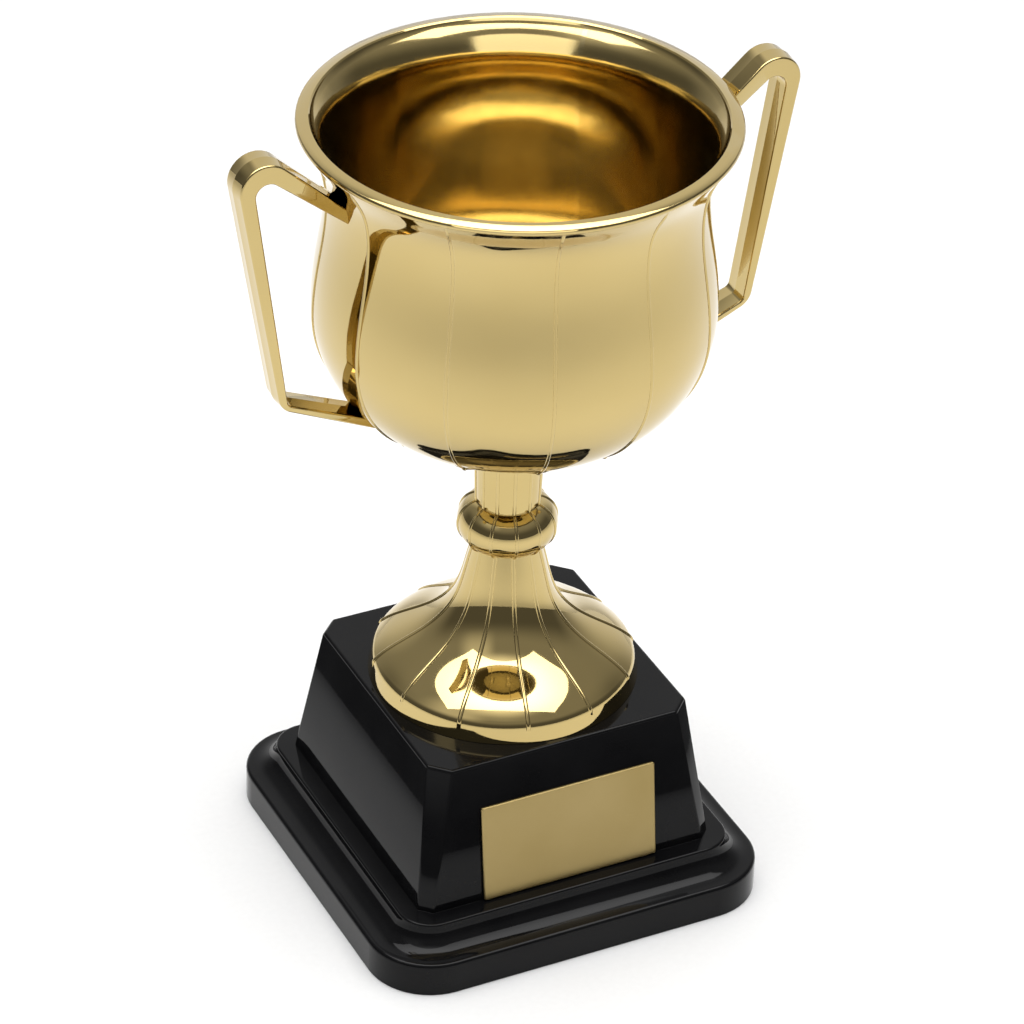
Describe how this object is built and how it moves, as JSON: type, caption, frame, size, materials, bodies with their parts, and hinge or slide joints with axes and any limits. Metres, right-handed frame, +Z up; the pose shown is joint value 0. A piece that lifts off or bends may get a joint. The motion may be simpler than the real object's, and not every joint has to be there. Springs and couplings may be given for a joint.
{
  "type": "cup_trophy",
  "caption": "Two-handled gold cup trophy: flared bowl with raised lines, knop stem and flared foot on a black two-tier plinth with a blank gold plaque",
  "frame": {"origin": "centre of the plinth's underside, on the surface that the trophy stands on", "axes": "+Z is up along the cup's own axis, -Y is the side that carries the plaque, and the two handles stand out along +X and -X"},
  "size_m": [0.1376, 0.1, 0.2025],
  "materials": {
    "gold_plating": "mirror gold vacuum plating on moulded plastic",
    "black_plastic": "polished black moulding",
    "plaque_brass": "fine satin gold with a bright bevel",
    "zinc_steel": "zinc plated",
    "weight_iron": "as cast",
    "pad_felt": "pressed felt",
    "tape": "foam tape"
  },
  "bodies": {
    "root": {"bowl": "gold_plating", "handle_left": "gold_plating", "handle_right": "gold_plating", "stem": "gold_plating", "foot": "gold_plating", "tie_rod": "zinc_steel", "bowl_insert": "zinc_steel", "plinth_shell": "black_plastic", "plinth_weight": "weight_iron", "base_washer": "zinc_steel", "base_nut": "zinc_steel", "base_pad": "pad_felt", "plaque": "plaque_brass", "plaque_tape": "tape"}
  },
  "joints": []
}
